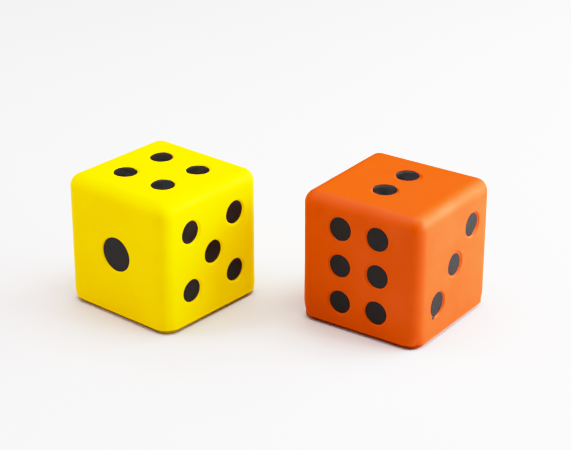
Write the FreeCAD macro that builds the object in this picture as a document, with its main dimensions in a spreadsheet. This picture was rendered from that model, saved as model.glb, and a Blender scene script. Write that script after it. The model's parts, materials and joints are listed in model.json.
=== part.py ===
import FreeCAD, Part
import math
import os
import Sketcher

# A pair of large moulded foam dice, millimetres, +Z up.
# Origin: centre of the pair's bounding box, on the surface that the dice stand on.
# Each die is a block of foam in a coloured coat. The coat is made in two mould halves:
# a deep five-sided skin over the top and sides, and a flat skin underneath. They meet at
# a parting line just above the base. Every spot is black paint in its own shallow recess.

os.makedirs("parts", exist_ok=True)
doc = FreeCAD.newDocument("FoamDice")

dimensions = {
    "Side": 89.0,               # edge length of a die
    "EdgeRadius": 9.0,          # upright and top edges
    "Coat": 1.6,                # thickness of the five-sided skin
    "Parting": 3.0,             # height of the parting line, and thickness of the base skin
    "RimInset": 1.0,            # how far the base skin stands in from the parting line
    "RimRadius": 2.6,           # rounding of the base skin's lower edge
    "RecessDepth": 0.8,
    "SpotMouth": 9.0,           # recess radius at the face
    "SpotRadius": 7.9,          # radius of the paint, which fills the recess floor
    "AceMouth": 12.8,           # the same two for the larger single spot
    "AceRadius": 11.7,
    "Paint": 0.25,              # thickness of the paint
    "TwoOffset": 14.0,          # spot centres, measured from the middle of the face
    "ThreeOffset": 20.0,
    "FourOffset": 16.3,
    "FiveOffset": 20.5,
    "SixAcross": 13.7,
    "SixAlong": 25.5,
    "SpreadAcross": 150.0,      # from the yellow die's centre to the orange one's, along X
    "SpreadBack": -21.2,        # and along Y
    "YellowTurn": 49.6,         # turn of each die about its upright axis, in degrees
    "OrangeTurn": 54.8,
}

sheet = doc.addObject("Spreadsheet::Sheet", "Dims")
for row, (alias, value) in enumerate(dimensions.items(), start=1):
    sheet.set(f"A{row}", alias)
    sheet.set(f"B{row}", str(value))
    sheet.setAlias(f"B{row}", alias)
doc.recompute()

X, Y, Z = FreeCAD.Vector(1, 0, 0), FreeCAD.Vector(0, 1, 0), FreeCAD.Vector(0, 0, 1)
words = {1: "one", 2: "two", 3: "three", 4: "four", 5: "five", 6: "six"}

# Spot centres on a face, as the names of the offsets along its two axes.
layouts = {
    1: [("0", "0")],
    2: [("-TwoOffset", "0"), ("TwoOffset", "0")],
    3: [("-ThreeOffset", "-ThreeOffset"), ("0", "0"), ("ThreeOffset", "ThreeOffset")],
    4: [(u + "FourOffset", v + "FourOffset") for u in ("-", "") for v in ("-", "")],
    5: [(u + "FiveOffset", v + "FiveOffset") for u in ("-", "") for v in ("-", "")] + [("0", "0")],
    6: [(u + "SixAcross", v) for u in ("-", "") for v in ("-SixAlong", "0", "SixAlong")],
}

# Each face of a die: the origin plane of its sketch, the face's two axes as that plane has
# them, its outward direction, and whether the plane's own normal points outwards there.
faces = {
    "left": ("YZ_Plane", Y, Z, -X, False),
    "right": ("YZ_Plane", Y, Z, X, True),
    "front": ("XZ_Plane", X, Z, -Y, True),
    "rear": ("XZ_Plane", X, Z, Y, False),
    "top": ("XY_Plane", X, Y, Z, True),
    "base": ("XY_Plane", X, Y, -Z, False),
}

# The number on each face, and whether its layout is a quarter turn round.
# Opposite faces add up to seven, and one, two and three run anticlockwise about their corner.
dice = {
    "yellow": {
        "top": (4, False), "base": (3, True), "left": (1, False),
        "right": (6, True), "front": (5, False), "rear": (2, False),
    },
    "orange": {
        "top": (2, False), "base": (5, False), "left": (6, False),
        "right": (1, False), "front": (3, False), "rear": (4, False),
    },
}


def negated(name):
    if name == "0":
        return name
    return name[1:] if name.startswith("-") else "-" + name


def spots(number, turned):
    """Spot centres of one face, as pairs of offset names."""
    if not turned:
        return layouts[number]
    return [(negated(v), u) for u, v in layouts[number]]


def length(name):
    """An offset's value: a signed alias of the sheet, or 0."""
    if name == "0":
        return 0.0
    return -sheet.get(name[1:]) if name.startswith("-") else sheet.get(name)


def cell(name):
    """The same offset as an expression on the sheet."""
    if name == "0":
        return "0"
    return "-Dims." + name[1:] if name.startswith("-") else "Dims." + name


def reach(turn):
    """Half the width of a turned die along X or Y: the two are equal for a rounded square."""
    flat = sheet.get("Side") / 2 - sheet.get("EdgeRadius")
    angle = math.radians(turn)
    return flat * (abs(math.cos(angle)) + abs(math.sin(angle))) + sheet.get("EdgeRadius")


def die_places():
    """Where each die stands, with the pair's bounding box centred on the origin."""
    across, back = sheet.get("SpreadAcross"), sheet.get("SpreadBack")
    turns = {"yellow": sheet.get("YellowTurn"), "orange": sheet.get("OrangeTurn")}
    wider = reach(turns["yellow"]) - reach(turns["orange"])
    yellow = FreeCAD.Vector((wider - across) / 2, (-wider - back) / 2, 0)
    centres = {"yellow": yellow, "orange": yellow + FreeCAD.Vector(across, back, 0)}
    return {
        name: FreeCAD.Placement(centres[name], FreeCAD.Rotation(Z, turns[name]))
        for name in centres
    }


def origin_plane(body, role):
    return next(f for f in body.Origin.OriginFeatures if f.Role == role)


def new_sketch(body, name, role, offset):
    """A sketch parallel to one of the body's origin planes, offset along its normal."""
    sketch = body.newObject("Sketcher::SketchObject", name)
    sketch.AttachmentSupport = [(origin_plane(body, role), "")]
    sketch.MapMode = "FlatFace"
    sketch.setExpression("AttachmentOffset.Base.z", offset)
    return sketch


def square_sketch(body, name, half_width, offset):
    """A centred square whose half width and height above the floor are expressions."""
    sketch = new_sketch(body, name, "XY_Plane", offset)
    corners = [FreeCAD.Vector(x, y, 0) for x, y in ((-1, -1), (1, -1), (1, 1), (-1, 1))]
    for start, end in zip(corners, corners[1:] + corners[:1]):
        sketch.addGeometry(Part.LineSegment(start, end), False)
    for side in range(4):
        sketch.addConstraint(Sketcher.Constraint("Coincident", side, 2, (side + 1) % 4, 1))
    for side, kind in enumerate(("Horizontal", "Vertical", "Horizontal", "Vertical")):
        sketch.addConstraint(Sketcher.Constraint(kind, side))
    sketch.addConstraint(Sketcher.Constraint("Symmetric", 0, 1, 1, 2, -1, 1))
    for name_of, kind in (("HalfX", "DistanceX"), ("HalfY", "DistanceY")):
        index = sketch.addConstraint(Sketcher.Constraint(kind, -1, 1, 1, 2, 1.0))
        sketch.renameConstraint(index, name_of)
        sketch.setExpression("Constraints." + name_of, half_width)
    return sketch


def edges_where(shape, wanted):
    """Names of the shape's straight edges whose middle point passes the test."""
    found = []
    for index, edge in enumerate(shape.Edges, start=1):
        if wanted(edge.CenterOfMass):
            found.append(f"Edge{index}")
    return found


def block(body, half_width, lift, height):
    """A square block, the first feature of a body."""
    sketch = square_sketch(body, "Plan", half_width, lift)
    pad = body.newObject("PartDesign::Pad", "Block")
    pad.Profile = sketch
    pad.setExpression("Length", height)
    doc.recompute()
    return pad


def rounded(body, base, edges, radius):
    """A fillet on the named edges of the base feature."""
    fillet = body.newObject("PartDesign::Fillet", "Rounding")
    fillet.Base = (base, edges)
    fillet.setExpression("Radius", radius)
    doc.recompute()
    return fillet


def upright_or_top(shape):
    """The edges of a block that aren't in its lowest face."""
    low = shape.BoundBox.ZMin
    return edges_where(shape, lambda middle: middle.z > low + 1e-6)


def recesses(body, face, number, turned):
    """One pocket with sloping walls for all the spots of a face."""
    role, _, _, _, outward = faces[face]
    middle = {"XY_Plane": "0", "XZ_Plane": "Dims.Side / 2", "YZ_Plane": "Dims.Side / 2"}[role]
    level = {
        "left": "-Dims.Side / 2", "right": "Dims.Side / 2",
        "front": "Dims.Side / 2", "rear": "-Dims.Side / 2",
        "top": "Dims.Side", "base": "0",
    }[face]
    mouth = "AceMouth" if number == 1 else "SpotMouth"
    floor = "AceRadius" if number == 1 else "SpotRadius"
    sketch = new_sketch(body, f"{face.capitalize()}Spots", role, level)
    for index, (u, v) in enumerate(spots(number, turned)):
        centre = FreeCAD.Vector(length(u), length(v), 0)
        if role != "XY_Plane":
            centre.y += sheet.get("Side") / 2
        sketch.addGeometry(Part.Circle(centre, Z, sheet.get(mouth)), False)
        for kind, label, value, expression in (
            ("DistanceX", f"Across{index}", centre.x, cell(u)),
            ("DistanceY", f"Along{index}", centre.y, f"{middle} + {cell(v)}"),
        ):
            where = sketch.addConstraint(Sketcher.Constraint(kind, -1, 1, index, 3, value))
            sketch.renameConstraint(where, label)
            sketch.setExpression("Constraints." + label, expression)
        where = sketch.addConstraint(Sketcher.Constraint("Radius", index, sheet.get(mouth)))
        sketch.renameConstraint(where, f"Mouth{index}")
        sketch.setExpression(f"Constraints.Mouth{index}", "Dims." + mouth)
    doc.recompute()
    pocket = body.newObject("PartDesign::Pocket", f"{face.capitalize()}Recesses")
    pocket.Profile = sketch
    pocket.Reversed = not outward
    pocket.setExpression("Length", "Dims.RecessDepth")
    slope = f"-atan((Dims.{mouth} - Dims.{floor}) / Dims.RecessDepth)"
    pocket.setExpression("TaperAngle", slope)
    doc.recompute()
    return pocket


def five_sided_skin(name, numbers):
    """The coat over the top and the four sides, open at the parting line."""
    body = doc.addObject("PartDesign::Body", name)
    pad = block(body, "Dims.Side / 2", "Dims.Parting", "Dims.Side - Dims.Parting")
    outer = rounded(body, pad, upright_or_top(pad.Shape), "Dims.EdgeRadius")
    low = outer.Shape.BoundBox.ZMin
    opening = next(
        f"Face{index}" for index, face in enumerate(outer.Shape.Faces, start=1)
        if abs(face.CenterOfMass.z - low) < 1e-6
    )
    shell = body.newObject("PartDesign::Thickness", "Shell")
    shell.Base = (outer, [opening])
    shell.Reversed = True
    shell.setExpression("Value", "Dims.Coat")
    doc.recompute()
    for face in ("top", "left", "right", "front", "rear"):
        recesses(body, face, *numbers[face])
    return body


def base_skin(name, numbers):
    """The flat coat under the die, a little smaller than the parting line above it."""
    body = doc.addObject("PartDesign::Body", name)
    pad = block(body, "Dims.Side / 2 - Dims.RimInset", "0", "Dims.Parting")
    uprights = edges_where(
        pad.Shape, lambda middle: abs(middle.z - sheet.get("Parting") / 2) < 1e-6
    )
    plan = rounded(body, pad, uprights, "Dims.EdgeRadius - Dims.RimInset")
    rim = edges_where(plan.Shape, lambda middle: middle.z < 1e-6)
    rounded(body, plan, rim, "Dims.RimRadius")
    recesses(body, "base", *numbers["base"])
    return body


def foam_core(name):
    """The foam that fills the coat."""
    body = doc.addObject("PartDesign::Body", name)
    pad = block(
        body, "Dims.Side / 2 - Dims.Coat", "Dims.Parting", "Dims.Side - Dims.Coat - Dims.Parting"
    )
    rounded(body, pad, upright_or_top(pad.Shape), "Dims.EdgeRadius - Dims.Coat")
    return body


def spot_paint(name, number):
    """One spot's paint: a thin disc that covers the floor of its recess."""
    disc = doc.addObject("Part::Cylinder", name)
    disc.setExpression("Radius", "Dims.AceRadius" if number == 1 else "Dims.SpotRadius")
    disc.setExpression("Height", "Dims.Paint")
    return disc


def spot_place(face, u, v):
    """A disc's place in the die's own frame: on the recess floor, facing outwards."""
    _, across, along, outward, _ = faces[face]
    half = sheet.get("Side") / 2
    centre = Z * half + outward * (half - sheet.get("RecessDepth"))
    centre += across * length(u) + along * length(v)
    return FreeCAD.Placement(centre, FreeCAD.Rotation(Z, outward))


pieces = []
places = die_places()
for colour, numbers in dice.items():
    place = places[colour]
    for piece in (
        foam_core(f"{colour}_foam_core"),
        five_sided_skin(f"{colour}_skin", numbers),
        base_skin(f"{colour}_base_skin", numbers),
    ):
        piece.Placement = place
        pieces.append(piece)
    for face, (number, turned) in numbers.items():
        for index, (u, v) in enumerate(spots(number, turned), start=1):
            suffix = f"_{index}" if number > 1 else ""
            paint = spot_paint(f"{colour}_{words[number]}_pip{suffix}", number)
            paint.Placement = place.multiply(spot_place(face, u, v))
            pieces.append(paint)
doc.recompute()

failed = [obj.Name for obj in doc.Objects if {"Invalid", "Error"} & set(obj.State)]
if failed:
    raise RuntimeError("these objects did not compute: " + ", ".join(failed))
for piece in pieces:
    if piece.Shape.isNull() or not piece.Shape.isValid():
        raise RuntimeError(piece.Label + " has no valid shape")

for piece in pieces:
    piece.Shape.exportStep(f"parts/{piece.Label}.step")
print(len(pieces), "pieces written")
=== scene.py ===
import json
import math
import random

import bmesh
import bpy
from mathutils import Matrix, Vector
from mathutils.geometry import delaunay_2d_cdt


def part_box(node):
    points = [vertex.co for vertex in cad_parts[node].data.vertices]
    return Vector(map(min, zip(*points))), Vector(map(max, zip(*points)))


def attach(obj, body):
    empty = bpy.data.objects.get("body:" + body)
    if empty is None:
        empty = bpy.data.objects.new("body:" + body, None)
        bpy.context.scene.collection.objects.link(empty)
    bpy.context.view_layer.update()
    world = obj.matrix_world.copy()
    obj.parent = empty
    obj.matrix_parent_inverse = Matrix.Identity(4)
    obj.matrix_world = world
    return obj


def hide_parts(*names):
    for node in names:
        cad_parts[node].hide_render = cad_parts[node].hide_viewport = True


# Two large moulded foam dice: a coloured coat over foam, and painted spots in shallow dishes.
# Lengths in the dictionaries are millimetres, and mm turns them into Blender's metres.

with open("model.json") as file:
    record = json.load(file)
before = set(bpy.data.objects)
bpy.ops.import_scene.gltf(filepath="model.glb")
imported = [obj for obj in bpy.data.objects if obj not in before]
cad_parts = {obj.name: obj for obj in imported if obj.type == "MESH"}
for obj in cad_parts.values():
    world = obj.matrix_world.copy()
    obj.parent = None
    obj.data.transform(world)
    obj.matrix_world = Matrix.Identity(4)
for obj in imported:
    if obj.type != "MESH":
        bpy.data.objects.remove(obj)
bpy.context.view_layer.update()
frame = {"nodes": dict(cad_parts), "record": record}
record = frame["record"]
mm = 0.001
print("frame loaded:", len(frame["nodes"]), "CAD nodes")


# A node's output, so that sums on outputs are written as Python expressions.
class Wire:
    def __init__(self, net, socket):
        self.net, self.socket = net, socket

    def maths(self, operation, *others):
        inputs = dict(enumerate((self, *others)))
        return self.net.add("ShaderNodeMath", {"operation": operation}, inputs)

    def __add__(self, other):
        return self.maths("ADD", other)

    def __sub__(self, other):
        return self.maths("SUBTRACT", other)

    def __mul__(self, other):
        return self.maths("MULTIPLY", other)

    def __truediv__(self, other):
        return self.maths("DIVIDE", other)

    def __rsub__(self, other):
        return self * -1.0 + other

    def __rtruediv__(self, other):
        return self.maths("POWER", -1.0) * other

    __radd__ = __add__

    def vector(self, operation, other=None):
        # a Vector Math node, whose number input is its fourth
        inputs = {0: self}
        if other is not None:
            inputs[3 if operation == "SCALE" else 1] = other
        out = 1 if operation == "LENGTH" else 0
        return self.net.add("ShaderNodeVectorMath", {"operation": operation}, inputs, out)

    def step(self, low, high, toLow=0.0, toHigh=1.0):
        # a smooth step from toLow at low to toHigh at high
        inputs = {0: self, 1: low, 2: high, 3: toLow, 4: toHigh}
        return self.net.add("ShaderNodeMapRange", {"interpolation_type": "SMOOTHSTEP"}, inputs)

    def parts(self):
        node = self.net.add("ShaderNodeSeparateXYZ", {}, {0: self}).socket.node
        return [Wire(self.net, socket) for socket in node.outputs]


# A node tree, with one method that adds any node.
class Net:
    def __init__(self, tree):
        self.tree = tree

    def add(self, kind, settings, inputs, out=0):
        node = self.tree.nodes.new(kind)
        for name, value in settings.items():
            setattr(node, name, value)
        for key, value in inputs.items():
            if isinstance(value, Wire):
                self.tree.links.new(value.socket, node.inputs[key])
            else:
                node.inputs[key].default_value = value
        return Wire(self, node.outputs[out]) if node.outputs else node

    def mix(self, factor, first, second):
        # a Mix node on colours, whose colour sockets are its seventh and eighth
        inputs = {0: factor, 6: first, 7: second}
        return self.add("ShaderNodeMix", {"data_type": "RGBA"}, inputs, 2)

    def noise(self, place, scale, detail):
        inputs = {"Vector": place, "Scale": scale, "Detail": detail}
        return self.add("ShaderNodeTexNoise", {}, inputs)

    def patches(self, place, size, detail):
        # noise whose patches are about as wide as the size
        return self.noise(place, 1 / (size * mm), detail)

    def cells(self, place, size):
        inputs = {"Vector": place, "Scale": 1 / (size * mm)}
        return self.add("ShaderNodeTexVoronoi", {}, inputs)

    def bump(self, height, field):
        inputs = {"Strength": 1.0, "Distance": height * mm, "Height": field}
        return self.add("ShaderNodeBump", {}, inputs)


# Camera

cameraValues = {
    "aim": (4.7, 0.0, 55.0),
    "distance": 1176.0,
    "tilt": 24.52,           # degrees below the horizon
    "lens": 114.85,
}


def makeCamera(values):
    tilt = math.radians(values["tilt"])
    back = Vector((0, -math.cos(tilt), math.sin(tilt)))
    data = bpy.data.cameras.new("camera")
    data.lens = values["lens"]
    camera = bpy.data.objects.new("camera", data)
    camera.location = (Vector(values["aim"]) + back * values["distance"]) * mm
    camera.rotation_euler = (math.pi / 2 - tilt, 0, 0)
    bpy.context.scene.collection.objects.link(camera)
    bpy.context.scene.camera = camera


makeCamera(cameraValues)
print("camera placed")


# The dice as the frame has them

class Die:
    def __init__(self, colour):
        self.colour, self.body = colour, colour + "_die"
        outward = {mount["name"]: Vector(mount["axis"]) for mount in record["mounts"]}
        across, back = outward[colour + "_right"], outward[colour + "_rear"]
        low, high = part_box(colour + "_skin")
        baseLow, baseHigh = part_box(colour + "_base_skin")
        self.half, self.parting = high.z / 2, low.z
        spread = abs(across.x) + abs(across.y)
        reach = (high.x - low.x) / 2
        # a turned rounded square reaches (half - edge) * spread + edge
        self.edge = (self.half * spread - reach) / (spread - 1)
        self.rimInset = reach - (baseHigh.x - baseLow.x) / 2
        self.place = Matrix((
            (across.x, back.x, 0, (low.x + high.x) / 2),
            (across.y, back.y, 0, (low.y + high.y) / 2),
            (0, 0, 1, self.half),
            (0, 0, 0, 1),
        ))
        owned = [n for n in sorted(frame["nodes"]) if n.startswith(colour) and "_pip" in n]
        self.spots = [self.findSpot(node) for node in owned]

    def findSpot(self, node):
        # the CAD disc gives a spot's face, centre and radius, in the die's own axes
        low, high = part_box(node)
        middle = self.place.inverted() @ ((low + high) / 2)
        axis = max(range(3), key=lambda index: abs(middle[index]))
        outward = Vector((0, 0, 0))
        outward[axis] = math.copysign(1, middle[axis])
        middle[axis] = self.half * outward[axis]
        radius = max(high - low) / 2
        return {"node": node, "middle": middle, "outward": outward, "radius": radius}


def inPlane(outward):
    # a face's two axes: level and upright on a side, the die's own X and Y on top and base
    if abs(outward.z) > 0.5:
        return Vector((1, 0, 0)), Vector((0, 1, 0))
    return Vector((abs(outward.y), abs(outward.x), 0)), Vector((0, 0, 1))


dice = [Die("yellow"), Die("orange")]


# Shared mesh and node helpers

def link(name, mesh):
    piece = bpy.data.objects.new(name, mesh)
    bpy.context.scene.collection.objects.link(piece)
    return piece


def newMesh(name, build):
    # a smooth-shaded mesh, filled by build
    bm = bmesh.new()
    build(bm)
    bm.normal_update()
    mesh = bpy.data.meshes.new(name)
    bm.to_mesh(mesh)
    bm.free()
    mesh.shade_smooth()
    return link(name, mesh)


def baked(piece, name, sharpAngle=35):
    # the modified shape as a plain mesh on a new object, with sharp edges above the angle
    evaluated = piece.evaluated_get(bpy.context.evaluated_depsgraph_get())
    mesh = bpy.data.meshes.new_from_object(evaluated)
    bpy.data.objects.remove(piece)
    mesh.set_sharp_from_angle(angle=math.radians(sharpAngle))
    return link(name, mesh)


def newTree(name, sockets):
    # a Geometry Nodes group with the named inputs
    tree = bpy.data.node_groups.new(name, "GeometryNodeTree")
    tree.interface.new_socket("Geometry", in_out="INPUT", socket_type="NodeSocketGeometry")
    for socket, kind in sockets.items():
        tree.interface.new_socket(socket, in_out="INPUT", socket_type="NodeSocket" + kind)
    tree.interface.new_socket("Geometry", in_out="OUTPUT", socket_type="NodeSocketGeometry")
    net = Net(tree)
    source = tree.nodes.new("NodeGroupInput")
    return net, {socket.name: Wire(net, socket) for socket in source.outputs if socket.name}


def closeTree(net, geometry, material):
    realized = net.add("GeometryNodeRealizeInstances", {}, {0: geometry})
    painted = net.add("GeometryNodeSetMaterial", {}, {0: realized, "Material": material})
    net.add("NodeGroupOutput", {}, {0: painted})
    return net.tree


def useTree(piece, tree, values):
    # each input is set by its socket's identifier
    modifier = piece.modifiers.new(tree.name, "NODES")
    modifier.node_group = tree
    for item in tree.interface.items_tree:
        if item.in_out == "INPUT" and item.name in values:
            modifier[item.identifier] = values[item.name]


def attribute(net, name, kind="FLOAT_VECTOR"):
    return net.add("GeometryNodeInputNamedAttribute", {"data_type": kind}, {"Name": name})


def objectGeometry(net, wire):
    # the Object Info node's fifth output is the object's shape
    return net.add("GeometryNodeObjectInfo", {"transform_space": "RELATIVE"}, {0: wire}, 4)


# Materials

coatValues = {
    "yellow": {
        "base": (0.98, 0.67, 0.0, 1),
        "deep": (0.965, 0.645, 0.0, 1),
        "speck": (0.4, 0.26, 0.01, 1),
        # painted shade for the rim below the parting line
        "paintedRimShade": (0.34, 0.22, 0.0, 1),
        "gloss": (1.0, 0.86, 0.04, 1),
    },
    "orange": {
        "base": (0.62, 0.098, 0.004, 1),
        "deep": (0.6, 0.093, 0.003, 1),
        "speck": (0.3, 0.03, 0.01, 1),
        "paintedRimShade": (0.27, 0.032, 0.005, 1),
        "gloss": (1.0, 1.0, 1.0, 1),
    },
    "roughness": (0.48, 0.58),
    "specular": 0.235,
    "mottle": 24.0,          # size of the soft patches of colour
    "mottleRange": (0.35, 0.65),
    "roughRange": (0.3, 0.7),
    "peel": 0.9,             # size of the coat's fine ripple
    "peelHeight": 0.02,
    "speckSpacing": 14.0,
    "speckSize": 0.016,      # as a share of the spacing
    "speckCore": 0.6,        # share of a speck's radius before it begins to fade
    "speckShare": 0.7,       # how much of a speck's colour shows
    # painted shade: the rim below the parting line, where the coat curves under towards the floor, is
    # darkened in its colour; its heights from none to all, and back to none
    "paintedRimShadeRise": (0.3, 0.9),
    "paintedRimShadeFall": (2.8, 3.0),
    "paintedRimShadeWander": 0.6,    # how far the peel shifts those heights
    "paintedRimShadeShare": 0.85,
}


def newMaterial(name):
    material = bpy.data.materials.new(name)
    material.use_nodes = True
    net = Net(material.node_tree)
    shader = next(n for n in material.node_tree.nodes if n.type == "BSDF_PRINCIPLED")
    # the Texture Coordinate node's fourth output is Object
    place = net.add("ShaderNodeTexCoord", {}, {}, 3)
    return material, net, shader, place


def plug(net, shader, name, value):
    if isinstance(value, Wire):
        net.tree.links.new(value.socket, shader.inputs[name])
    else:
        shader.inputs[name].default_value = value


def coatMaterial(colour, values):
    material, net, shader, place = newMaterial(colour + "_coat")
    shade = values[colour]
    mottle = net.patches(place, values["mottle"], 3.0)
    peel = net.patches(place, values["peel"], 2.0)
    size = values["speckSize"]
    near = net.cells(place, values["speckSpacing"])
    speck = near.step(size * values["speckCore"], size, values["speckShare"], 0.0)
    tone = net.mix(mottle.step(*values["mottleRange"]), shade["base"], shade["deep"])
    spotted = net.mix(speck, tone, shade["speck"])
    level = place.parts()[2] + (peel - 0.5) * values["paintedRimShadeWander"] * mm
    rise, fall = ([height * mm for height in values[name]] for name in ("paintedRimShadeRise", "paintedRimShadeFall"))
    # painted shade: a dark band on the rim below the parting line
    paintedRimShade = level.step(*rise, 0.0, values["paintedRimShadeShare"]) * level.step(*fall, 1.0, 0.0)
    plug(net, shader, "Base Color", net.mix(paintedRimShade, spotted, shade["paintedRimShade"]))
    plug(net, shader, "Roughness", mottle.step(*values["roughRange"], *values["roughness"]))
    plug(net, shader, "Specular IOR Level", values["specular"])
    plug(net, shader, "Specular Tint", shade["gloss"])
    plug(net, shader, "Normal", net.bump(values["peelHeight"], peel))
    return material


paintValues = {
    "base": (0.01, 0.0098, 0.0096, 1),
    "worn": (0.016, 0.0155, 0.015, 1),
    "dust": (0.25, 0.24, 0.22, 1),
    "roughness": (0.42, 0.58),
    "specular": 0.35,
    "patch": 5.0,            # size of the worn patches
    "patchRange": (0.35, 0.7),
    "roughRange": (0.3, 0.7),
    "grain": 0.6,            # size of the paint's fine roughness
    "grainHeight": 0.03,
    "dustSpacing": 6.0,
    "dustSize": 0.022,       # as a share of the spacing
    "dustCore": 0.5,         # share of a grain's radius before it begins to fade
    "dustShare": 0.8,        # how much of a grain's colour shows
}


def paintMaterial(values):
    material, net, shader, place = newMaterial("pip_paint")
    patch = net.patches(place, values["patch"], 4.0)
    grain = net.patches(place, values["grain"], 3.0)
    size = values["dustSize"]
    near = net.cells(place, values["dustSpacing"])
    dust = near.step(size * values["dustCore"], size, values["dustShare"], 0.0)
    tone = net.mix(patch.step(*values["patchRange"]), values["base"], values["worn"])
    plug(net, shader, "Base Color", net.mix(dust, tone, values["dust"]))
    plug(net, shader, "Roughness", patch.step(*values["roughRange"], *values["roughness"]))
    plug(net, shader, "Specular IOR Level", values["specular"])
    plug(net, shader, "Normal", net.bump(values["grainHeight"], grain))
    return material


foamValues = {
    "yellow": {"base": (0.9, 0.72, 0.18, 1), "deep": (0.62, 0.45, 0.08, 1)},
    "orange": {"base": (0.88, 0.3, 0.09, 1), "deep": (0.6, 0.14, 0.03, 1)},
    "cell": 0.8,             # size of the foam's open cells
    "cellHeight": 0.3,
    "cellRange": (0.2, 0.7),
    "roughRange": (0.1, 0.8),
    "roughness": (0.95, 0.8),
}


def foamMaterial(colour, values):
    material, net, shader, place = newMaterial(colour + "_foam")
    shade = values[colour]
    cells = net.cells(place, values["cell"])
    plug(net, shader, "Base Color", net.mix(cells.step(*values["cellRange"]), shade["deep"], shade["base"]))
    plug(net, shader, "Roughness", cells.step(*values["roughRange"], *values["roughness"]))
    plug(net, shader, "Normal", net.bump(values["cellHeight"], cells))
    return material


coats = {die.colour: coatMaterial(die.colour, coatValues) for die in dice}
foams = {die.colour: foamMaterial(die.colour, foamValues) for die in dice}
blackPaint = paintMaterial(paintValues)
print("materials made")


# Skins. A flat-sided net is drawn first, then Geometry Nodes round it and press the dishes in.

skinValues = {
    "arcSteps": 8,           # mesh steps in half of a rounded edge
    "cornerSteps": 12,       # and in a corner of the base
    "flatStep": 2.6,
    "footLevels": (0.0, 0.25, 0.6, 1.2, 2.1, 3.1, 4.2),   # mesh levels above the parting line
    "dishWall": 1.1,         # width of a dish's sloping wall
    "dishDepth": 0.85,
    "dishSectors": 56,
    "dishClear": 0.45,       # room left round a dish, as a share of the flat step
    "dishInside": 0.998,     # a ring's sides are flat, so its inside ends just within its radius
    # mesh rings, as distances out from a dish's mouth
    "dishRings": (0.5, 0.2, 0.0, -0.2, -0.4, -0.6, -0.8, -1.0, -1.2, -1.5, -2.4, -4.0, -5.8),
    "thickness": 1.55,       # of the skin
    "seam": 0.02,            # how far the base stops short of the parting line
    "inwards": 0.7,          # value of the noise that leaves a surface where it is
    "waveHeight": 0.3,       # slow unevenness of the moulding
    "waveSize": 30.0,
    "rippleHeight": 0.09,
    "rippleSize": 6.0,
    "lip": 0.22,             # flash that stands out at the parting line
    "lipHeight": 0.9,
    "trim": 0.5,             # unevenness of the trimmed edge
    "trimSize": 3.5,
    "trimLevel": 0.35,       # value of the noise that leaves the edge where it is
    "pinch": {"yellow": 0.6, "orange": 1.3},   # how far the trimming cuts into the upright corners
    "pinchHeight": {"yellow": 5.0, "orange": 8.0},
    "pinchLeast": 0.4,       # share of the pinch that every corner has
    "rimWidth": 3.2,         # the base's rounded rim, which is wider than it is tall
    "rimHeight": 2.8,
    "rimSteps": 8,
}


def evenSteps(low, high, step):
    count = max(1, round((high - low) / step))
    return [low + (high - low) * index / count for index in range(count + 1)]


# One face at a time, vertices shared by place, to 0.0001 mm, so that neighbouring faces join.
class NetMaker:
    def __init__(self, bm):
        self.bm, self.known = bm, {}

    def vertex(self, point):
        key = tuple(round(value / mm, 4) for value in point)
        if key not in self.known:
            self.known[key] = self.bm.verts.new(point)
        return self.known[key]

    def face(self, points, outward):
        corners = []
        for point in points:
            vertex = self.vertex(point)
            if vertex not in corners:
                corners.append(vertex)
        if len(corners) < 3:
            return
        a, b, c = (corners[index].co for index in range(3))
        if (b - a).cross(c - a).dot(outward) < 0:
            corners.reverse()
        self.bm.faces.new(corners)

    def lattice(self, origin, u, v, outward, columns, rows, skip):
        # quads between the columns and rows, but for the cells that skip names
        for left, right in zip(columns, columns[1:]):
            for low, high in zip(rows, rows[1:]):
                if not skip((left + right) / 2, (low + high) / 2):
                    corners = ((left, low), (right, low), (right, high), (left, high))
                    self.face([origin + u * x + v * y for x, y in corners], outward)

    def dishes(self, origin, u, v, outward, outline, filling, spots, values):
        # triangles from the outline in to each spot's outer ring, then rings to its centre
        points = [Vector(p) for p in outline]
        count = len(points)
        edges = [(index, (index + 1) % count) for index in range(count)]
        rings = []
        for spot in spots:
            offset = spot["middle"] - origin
            centre = Vector((offset.dot(u), offset.dot(v)))
            mouth = spot["radius"] + values["dishWall"] * mm
            radii = [mouth + ring * mm for ring in values["dishRings"]]
            rings.append((centre, radii))
            start, sectors = len(points), values["dishSectors"]
            points += [self.onRing(centre, radii[0], index, sectors) for index in range(sectors)]
            edges += [(start + index, start + (index + 1) % sectors) for index in range(sectors)]
        clear = values["flatStep"] * mm * values["dishClear"]
        for x, y in filling:
            if all((Vector((x, y)) - centre).length > radii[0] + clear for centre, radii in rings):
                points.append(Vector((x, y)))
        insideOnly, closeness = 1, 1e-7
        made, _, triangles, _, _, _ = delaunay_2d_cdt(points, edges, [], insideOnly, closeness)
        for triangle in triangles:
            middle = sum((made[index] for index in triangle), Vector((0, 0))) / len(triangle)
            inside = values["dishInside"]
            if all((middle - centre).length > radii[0] * inside for centre, radii in rings):
                self.face([origin + u * made[i].x + v * made[i].y for i in triangle], outward)
        for centre, radii in rings:
            self.ringFaces(origin, u, v, outward, centre, radii, values["dishSectors"])

    def onRing(self, centre, radius, index, sectors):
        angle = 2 * math.pi * index / sectors
        return centre + Vector((math.cos(angle), math.sin(angle))) * radius

    def ringFaces(self, origin, u, v, outward, centre, radii, sectors):
        for outer, inner in zip(radii, radii[1:] + [0.0]):
            for start in range(sectors):
                end = start + 1
                around = ((outer, start), (outer, end), (inner, end), (inner, start))
                corners = [self.onRing(centre, radius, turn, sectors) for radius, turn in around]
                self.face([origin + u * p.x + v * p.y for p in corners], outward)


def spotsOn(die, outward):
    return [spot for spot in die.spots if spot["outward"].dot(outward) > 0.5]


# the top and the four sides
openFaces = [Vector(face) for face in ((0, 0, 1), (1, 0, 0), (-1, 0, 0), (0, 1, 0), (0, -1, 0))]


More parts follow.
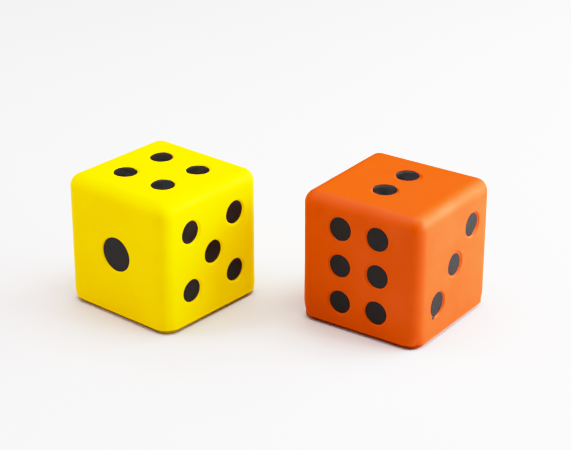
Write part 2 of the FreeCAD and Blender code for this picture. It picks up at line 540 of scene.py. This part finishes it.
def skinNet(die, values):
    # the net of the top and four sides: a sharp-edged box, open at the parting line
    half, flat = die.half, die.half - die.edge
    turns = [math.radians(45 * step / values["arcSteps"]) for step in range(1, values["arcSteps"] + 1)]
    rounding = [flat + die.edge * math.tan(turn) for turn in turns]
    middle = evenSteps(-flat, flat, values["flatStep"] * mm)
    columns = [-place for place in reversed(rounding)] + middle + rounding
    foot = [die.parting - half + level * mm for level in values["footLevels"]]
    rows = foot + middle + rounding
    square = [(x, -flat) for x in middle] + [(flat, y) for y in middle[1:]]
    square += [(x, flat) for x in reversed(middle[:-1])] + [(-flat, y) for y in reversed(middle[1:-1])]
    inside = [(x, y) for x in middle[1:-1] for y in middle[1:-1]]

    def build(bm):
        maker = NetMaker(bm)
        for outward in openFaces:
            u, v = inPlane(outward)
            origin = outward * half
            upright = rows if abs(outward.z) < 0.5 else columns
            maker.lattice(origin, u, v, outward, columns, upright, lambda x, y: max(abs(x), abs(y)) < flat)
            maker.dishes(origin, u, v, outward, square, inside, spotsOn(die, outward), values)
    return newMesh("net", build)


def roundedSquare(half, radius, inset, step, cornerSteps):
    # an outline of a rounded square, anticlockwise, drawn in by the inset
    points, straight = [], half - radius
    for quarter in range(4):
        turn = Matrix.Rotation(quarter * math.pi / 2, 2)
        for y in evenSteps(-straight, straight, step)[:-1]:
            points.append(turn @ Vector((half - inset, y)))
        corner = Vector((straight, straight))
        for index in range(cornerSteps):
            angle = math.pi / 2 * index / cornerSteps
            out = Vector((math.cos(angle), math.sin(angle))) * (radius - inset)
            points.append(turn @ (corner + out))
    return points


def baseNet(die, values):
    # the base skin: a shallow rounded rim and a flat underside
    half, radius = die.half - die.rimInset, die.edge - die.rimInset
    wide, tall, step = values["rimWidth"] * mm, values["rimHeight"] * mm, values["flatStep"] * mm
    levels = [(0.0, die.parting - values["seam"] * mm), (0.0, tall)]
    for index in range(1, values["rimSteps"] + 1):
        angle = math.pi / 2 * index / values["rimSteps"]
        levels.append((wide * (1 - math.cos(angle)), tall * (1 - math.sin(angle))))
    inner = half - radius

    def build(bm):
        maker = NetMaker(bm)
        loops = []
        for inset, height in levels:
            square = roundedSquare(half, radius, inset, step, values["cornerSteps"])
            loops.append([Vector((p.x, p.y, height - die.half)) for p in square])
        for upper, lower in zip(loops, loops[1:]):
            count = len(upper)
            for index in range(count):
                following = (index + 1) % count
                ring = (upper[index], upper[following], lower[following], lower[index])
                maker.face(ring, Vector((ring[0].x, ring[0].y, 0)))
        maker.face(loops[0], Vector((0, 0, 1)))
        down = Vector((0, 0, -1))
        u, v = inPlane(down)
        grid = evenSteps(-inner, inner, step)
        filling = [(x, y) for x in grid for y in grid]
        outline = [(p.x, p.y) for p in loops[-1]]
        maker.dishes(down * die.half, u, v, down, outline, filling, spotsOn(die, down), values)
    return newMesh("base", build)


def spotPoints(die):
    # one vertex for each spot, carrying what the trees need to know about it
    mesh = bpy.data.meshes.new("spots")
    mesh.from_pydata([spot["middle"] for spot in die.spots], [], [])
    store(mesh, "radius", "FLOAT", [spot["radius"] for spot in die.spots])
    return link("spots", mesh)


def store(mesh, name, kind, values):
    layer = mesh.attributes.new(name, kind, "POINT")
    if kind == "FLOAT":
        layer.data.foreach_set("value", values)
    else:
        layer.data.foreach_set("vector", [part for value in values for part in value])


def roundingTree(values, material):
    net, given = newTree("roundedBlock", {
        "Half Side": "Float", "Edge Radius": "Float",
        "Wave Height": "Float", "Wave Size": "Float", "Ripple Height": "Float", "Ripple Size": "Float",
        "Parting": "Float", "Lip": "Float", "Lip Height": "Float", "Trim": "Float", "Trim Size": "Float",
        "Pinch": "Float", "Pinch Height": "Float",
    })
    place = net.add("GeometryNodeInputPosition", {}, {})
    x, y, z = place.parts()
    flat = given["Half Side"] - given["Edge Radius"]

    def inner(value):
        return value.maths("MINIMUM", flat).maths("MAXIMUM", flat * -1.0)

    core = net.add("ShaderNodeCombineXYZ", {}, {0: inner(x), 1: inner(y), 2: z.maths("MINIMUM", flat)})
    outward = place.vector("SUBTRACT", core).vector("NORMALIZE")
    rounded = core.vector("ADD", outward.vector("SCALE", given["Edge Radius"]))
    wave = net.noise(rounded, 1.0 / given["Wave Size"], 1.0)
    ripple = net.noise(rounded, 1.0 / given["Ripple Size"], 2.0)
    edgeNoise = net.noise(rounded, 1.0 / given["Trim Size"], 3.0)
    # most of the unevenness lies inwards, so that the die keeps its size
    waves = (wave - values["inwards"]) * given["Wave Height"]
    uneven = waves + (ripple - values["inwards"]) * given["Ripple Height"]
    above = z - given["Parting"]
    atEdge = above.step(0.0, given["Lip Height"], 1.0, 0.0)
    # the trimming also cuts into the foot of each upright corner
    out = outward.parts()
    corner = (out[0] * out[1]).maths("ABSOLUTE") * 2.0
    nearFoot = above.step(0.0, given["Pinch Height"], 1.0, 0.0)
    cut = nearFoot * corner * given["Pinch"] * (edgeNoise + values["pinchLeast"])
    lip = atEdge * given["Lip"] * (1.0 - corner)
    moved = rounded.vector("ADD", outward.vector("SCALE", uneven + lip - cut))
    dropped = (edgeNoise - values["trimLevel"]) * atEdge * given["Trim"]
    drop = net.add("ShaderNodeCombineXYZ", {}, {2: dropped})
    placed = {0: given["Geometry"], "Position": moved.vector("ADD", drop)}
    shaped = net.add("GeometryNodeSetPosition", {}, placed)
    return closeTree(net, shaped, material)


def dishTree(material):
    net, given = newTree("spotDishes", {"Spots": "Object", "Wall": "Float", "Depth": "Float"})
    spots = objectGeometry(net, given["Spots"])
    place = net.add("GeometryNodeInputPosition", {}, {})
    nearest = net.add("GeometryNodeSampleNearest", {}, {0: spots, "Sample Position": place})
    radius = net.add("GeometryNodeSampleIndex", {}, {
        0: spots, 1: attribute(net, "radius", "FLOAT"), 2: nearest,
    })
    distance = net.add("GeometryNodeProximity", {"target_element": "POINTS"},
                       {0: spots, "Sample Position": place}, 1)
    depth = distance.step(radius, radius + given["Wall"], 1.0, 0.0) * given["Depth"]
    normal = net.add("GeometryNodeInputNormal", {}, {})
    pressed = net.add("GeometryNodeSetPosition", {},
                      {0: given["Geometry"], "Offset": normal.vector("SCALE", depth * -1.0)})
    return closeTree(net, pressed, material)


def finishPiece(piece, die, slotName, *nodes):
    piece.data.transform(die.place)
    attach(piece, die.body)
    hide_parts(*nodes)


def makeSkins(die, values):
    dishes = dishTree(coats[die.colour])
    rounding = roundingTree(values, coats[die.colour])
    spots = spotPoints(die)
    pressing = {"Spots": spots, "Wall": values["dishWall"] * mm, "Depth": values["dishDepth"] * mm}
    skin = skinNet(die, values)
    useTree(skin, rounding, {
        "Half Side": die.half, "Edge Radius": die.edge,
        "Wave Height": values["waveHeight"] * mm, "Wave Size": values["waveSize"] * mm,
        "Ripple Height": values["rippleHeight"] * mm, "Ripple Size": values["rippleSize"] * mm,
        "Parting": die.parting - die.half, "Lip": values["lip"] * mm, "Lip Height": values["lipHeight"] * mm,
        "Trim": values["trim"] * mm, "Trim Size": values["trimSize"] * mm,
        "Pinch": values["pinch"][die.colour] * mm, "Pinch Height": values["pinchHeight"][die.colour] * mm,
    })
    useTree(skin, dishes, pressing)
    wall = skin.modifiers.new("wall", "SOLIDIFY")
    wall.thickness, wall.offset = values["thickness"] * mm, -1.0
    skin = baked(skin, die.colour + "_moulded_skin")
    base = baseNet(die, values)
    useTree(base, dishes, pressing)
    base = baked(base, die.colour + "_moulded_base")
    bpy.data.objects.remove(spots)
    return skin, base


# Spots of paint. One tree lays an uneven disc of paint in every dish of a die.

spotValues = {
    "rings": 16,             # mesh of a disc of paint
    "sectors": 72,
    "topShare": 0.8,         # share of the rings that lies on the top, the rest being underneath
    "ringSpacing": 0.6,      # below one, the rings crowd towards the rim
    "rimPower": 12.0,        # how late the disc thins towards its rim
    "thickness": 0.14,       # above the floor of the dish
    "buried": 0.06,          # and below it
    "castHeight": 3.0,       # the disc is cast onto the dish from this height
    "castLength": 8.0,
    "weld": 0.004,           # vertices nearer than this are joined
    "ragged": 0.06,          # unevenness of the outline, as a share of the radius
    "raggedScale": 1.8,
    "drift": 0.3,            # a spot's own stray from its stencil, at most, each way
    "shrink": 0.3,           # how much smaller in radius than its recess it is, at most
    # a face's spots go on through one stencil, which may lie a little to one side: across and along
    "stencils": {"yellow_four": (0.5, 0.5), "yellow_five": (-0.5, 0.5), "orange_two": (1.5, 1.5)},
    # a run of paint, or a missing bite below zero, at an angle in degrees round the spot; the
    # width is of one less the cosine
    "slips": {
        "orange_three_pip_1": {"angle": 235, "run": 2.6, "width": 0.05},
        "orange_three_pip_2": {"angle": 40, "run": -0.5, "width": 0.3},
        "orange_three_pip_3": {"angle": 310, "run": -0.9, "width": 0.12},
    },
}


def paintTree(values, material):
    net, given = newTree("paintSpots", {
        "Skin": "Object", "Base Skin": "Object", "Thickness": "Float", "Buried": "Float",
        "Ragged": "Float", "Ragged Scale": "Float",
    })
    grid = net.add("GeometryNodeMeshGrid", {}, {
        "Size X": 1.0, "Size Y": 1.0, "Vertices X": values["rings"], "Vertices Y": values["sectors"] + 1,
    })
    column, row, _ = net.add("GeometryNodeInputPosition", {}, {}).parts()
    stored = grid
    for name, field in (("section", column + 0.5), ("turn", (row + 0.5) * (2 * math.pi))):
        stored = net.add("GeometryNodeStoreNamedAttribute", {}, {0: stored, "Name": name, "Value": field})
    copies = net.add("GeometryNodeInstanceOnPoints", {}, {0: given["Geometry"], "Instance": stored})
    discs = net.add("GeometryNodeRealizeInstances", {}, {0: copies})

    # the section runs from the centre of the top out to the rim, and back underneath
    section, turn = attribute(net, "section", "FLOAT"), attribute(net, "turn", "FLOAT")
    top = (section / values["topShare"]).maths("MINIMUM", 1.0)
    under = ((1.0 - section) / (1.0 - values["topShare"])).maths("MINIMUM", 1.0)
    share = top.maths("MINIMUM", under).maths("POWER", values["ringSpacing"])
    slip = attribute(net, "slip").parts()
    cosine, sine = turn.maths("COSINE"), turn.maths("SINE")
    ring = net.add("ShaderNodeCombineXYZ", {}, {0: cosine, 1: sine, 2: attribute(net, "seed", "FLOAT")})
    rough = net.noise(ring, given["Ragged Scale"], 4.0)
    apart = 1.0 - (turn - slip[0]).maths("COSINE")
    run = (apart / slip[2] * -1.0).maths("EXPONENT") * slip[1]
    radius = attribute(net, "radius", "FLOAT") * (1.0 + (rough - 0.5) * given["Ragged"]) + run
    across, along, outward = attribute(net, "across"), attribute(net, "along"), attribute(net, "outward")
    spread = across.vector("SCALE", radius * share * cosine)
    spread = spread.vector("ADD", along.vector("SCALE", radius * share * sine))
    raised = outward.vector("SCALE", values["castHeight"] * mm)
    over = attribute(net, "middle").vector("ADD", spread).vector("ADD", raised)
    both = net.add("GeometryNodeJoinGeometry", {}, {0: objectGeometry(net, given["Skin"])})
    net.tree.links.new(objectGeometry(net, given["Base Skin"]).socket, both.socket.node.inputs[0])
    hit = net.add("GeometryNodeRaycast", {}, {
        0: both, "Source Position": over, "Ray Direction": outward.vector("SCALE", -1.0),
        "Ray Length": values["castLength"] * mm,
    }, 1)
    full = 1.0 - share.maths("POWER", values["rimPower"])
    isTop = (section - values["topShare"]).maths("LESS_THAN", 0.0)
    lift = isTop * full * given["Thickness"] - (1.0 - isTop) * full * given["Buried"]
    placed = net.add("GeometryNodeSetPosition", {},
                     {0: discs, "Position": hit.vector("ADD", outward.vector("SCALE", lift))})
    welded = net.add("GeometryNodeMergeByDistance", {}, {0: placed, "Distance": values["weld"] * mm})
    smooth = net.add("GeometryNodeSetShadeSmooth", {}, {0: welded})
    return closeTree(net, smooth, material)


def paintPoints(die, values):
    rng = random.Random(len(die.colour))
    rows = {"middle": [], "across": [], "along": [], "outward": [], "slip": []}
    radii, seeds = [], []
    for spot in die.spots:
        slip = values["slips"].get(spot["node"], {})
        across, along = inPlane(spot["outward"])
        chance = [rng.uniform(-1, 1) for _ in range(3)]
        stencil = values["stencils"].get(spot["node"].split("_pip")[0], (0.0, 0.0))
        side = [shift + part * values["drift"] for shift, part in zip(stencil, chance)]
        spare = (chance[2] - 1) / 2 * values["shrink"]
        rows["middle"].append(spot["middle"] + (across * side[0] + along * side[1]) * mm)
        rows["across"].append(across)
        rows["along"].append(along)
        rows["outward"].append(spot["outward"])
        angle, run = math.radians(slip.get("angle", 0)), slip.get("run", 0) * mm
        rows["slip"].append((angle, run, slip.get("width", 1.0)))
        radii.append(spot["radius"] + spare * mm)
        seeds.append(rng.uniform(0, 50))
    mesh = bpy.data.meshes.new("paint")
    mesh.from_pydata(rows["middle"], [], [])
    for name, vectors in rows.items():
        store(mesh, name, "FLOAT_VECTOR", vectors)
    store(mesh, "radius", "FLOAT", radii)
    store(mesh, "seed", "FLOAT", seeds)
    return link("paint", mesh)


def makePaint(die, skin, base, values):
    tree = paintTree(values, blackPaint)
    paint = paintPoints(die, values)
    useTree(paint, tree, {
        "Skin": skin, "Base Skin": base,
        "Thickness": values["thickness"] * mm, "Buried": values["buried"] * mm,
        "Ragged": values["ragged"], "Ragged Scale": values["raggedScale"],
    })
    return baked(paint, die.colour + "_painted_spots")


for die in dice:
    skin, base = makeSkins(die, skinValues)
    paint = makePaint(die, skin, base, spotValues)
    finishPiece(skin, die, die.colour + "_coat", die.colour + "_skin")
    finishPiece(base, die, die.colour + "_coat", die.colour + "_base_skin")
    finishPiece(paint, die, "pip_paint", *[spot["node"] for spot in die.spots])
    core = frame["nodes"][die.colour + "_foam_core"]
    core.material_slots[0].material = foams[die.colour]
    print(die.colour, "die:", len(skin.data.polygons), "skin faces,", len(paint.data.polygons), "paint faces")


# Floor, light and world

stageValues = {
    "floorSize": 9000.0,
    "floor": (0.718, 0.718, 0.722, 1),
    "floorPatch": 300.0,     # size of the floor's faint unevenness of tone
    "floorRange": (0.3, 0.7),
    "floorDeep": 0.985,      # the deeper tone, as a share of the floor's colour
    "floorRoughness": 0.8,
    "floorSpecular": 0.1,
    "backdrop": (0.97, 0.97, 0.98, 1),
    "lights": {
        # place, width and height, and power in watts
        "top": ((100, 150, 1500), (1500, 1500), 32),
        "rightLow": ((1300, -150, 420), (900, 700), 20),
        "rightBack": ((1200, 500, 600), (900, 900), 20),
        "rightFront": ((1100, -800, 500), (800, 800), 5),
        "leftLow": ((-1300, -500, 450), (900, 900), 3),
        "leftFront": ((-900, -1000, 700), (900, 900), 3),
        "leftHigh": ((-1200, 100, 1100), (900, 900), 10),
    },
    "leftTint": (1.0, 0.83, 0.9),   # colour of the lamps on the left
    "lightAim": 40.0,        # height of the point that they face
    # tone curve, as brightness and what is shown for it: deep blacks, and whites that roll off
    "black": 0.02,
    "tones": ((0.2, 0.17), (0.6, 0.6), (1.0, 0.86), (1.5, 0.96)),
    "white": 2.2,
    "farReach": (700.0, 1500.0),    # distances between which the floor's glow rises from none to all
    "farGlow": 1.3,
}


def makeFloor(values):
    size = values["floorSize"] * mm / 2

    def build(bm):
        corners = [bm.verts.new((x * size, y * size, 0)) for x, y in ((-1, -1), (1, -1), (1, 1), (-1, 1))]
        bm.faces.new(corners)
    floor = newMesh("floor", build)
    material, net, shader, place = newMaterial("paper_sweep")
    tone = net.patches(place, values["floorPatch"], 3.0).step(*values["floorRange"])
    deep = tuple(part * values["floorDeep"] for part in values["floor"][:3]) + (1,)
    plug(net, shader, "Base Color", net.mix(tone, values["floor"], deep))
    # the paper glows far from the dice, painted light that keeps it bright although no lamp reaches it
    start, end = (reach * mm for reach in values["farReach"])
    far = place.vector("LENGTH").step(start, end)
    plug(net, shader, "Emission Color", net.mix(far, (0, 0, 0, 1), (1, 1, 1, 1)))
    plug(net, shader, "Emission Strength", values["farGlow"])
    plug(net, shader, "Roughness", values["floorRoughness"])
    plug(net, shader, "Specular IOR Level", values["floorSpecular"])
    floor.data.materials.append(material)


def makeLights(values):
    for name, (place, size, power) in values["lights"].items():
        data = bpy.data.lights.new(name, "AREA")
        data.shape = "RECTANGLE"
        data.size, data.size_y = size[0] * mm, size[1] * mm
        data.energy = power
        if name.startswith("left"):
            data.color = values["leftTint"]
        lamp = bpy.data.objects.new(name, data)
        lamp.location = Vector(place) * mm
        aim = Vector((0, 0, values["lightAim"])) * mm - lamp.location
        lamp.rotation_euler = aim.to_track_quat("-Z", "Y").to_euler()
        lamp.visible_camera = False
        bpy.context.scene.collection.objects.link(lamp)


def makeWorld(values):
    # a pale backdrop for the camera, which casts no light of its own
    world = bpy.data.worlds.new("studio")
    world.use_nodes = True
    net = Net(world.node_tree)
    direct = net.add("ShaderNodeLightPath", {}, {})
    background = world.node_tree.nodes["Background"]
    background.inputs["Color"].default_value = values["backdrop"]
    world.node_tree.links.new(direct.socket, background.inputs["Strength"])
    bpy.context.scene.world = world


def setTones(values):
    view = bpy.context.scene.view_settings
    view.view_transform = "Standard"
    view.use_curve_mapping = True
    mapping = view.curve_mapping
    mapping.black_level = [values["black"]] * 3
    mapping.white_level = [values["white"] + values["black"]] * 3
    for brightness, shown in values["tones"]:
        mapping.curves[3].points.new(brightness / values["white"], shown)
    mapping.update()


makeFloor(stageValues)
makeLights(stageValues)
makeWorld(stageValues)
setTones(stageValues)
print("stage and lights made")
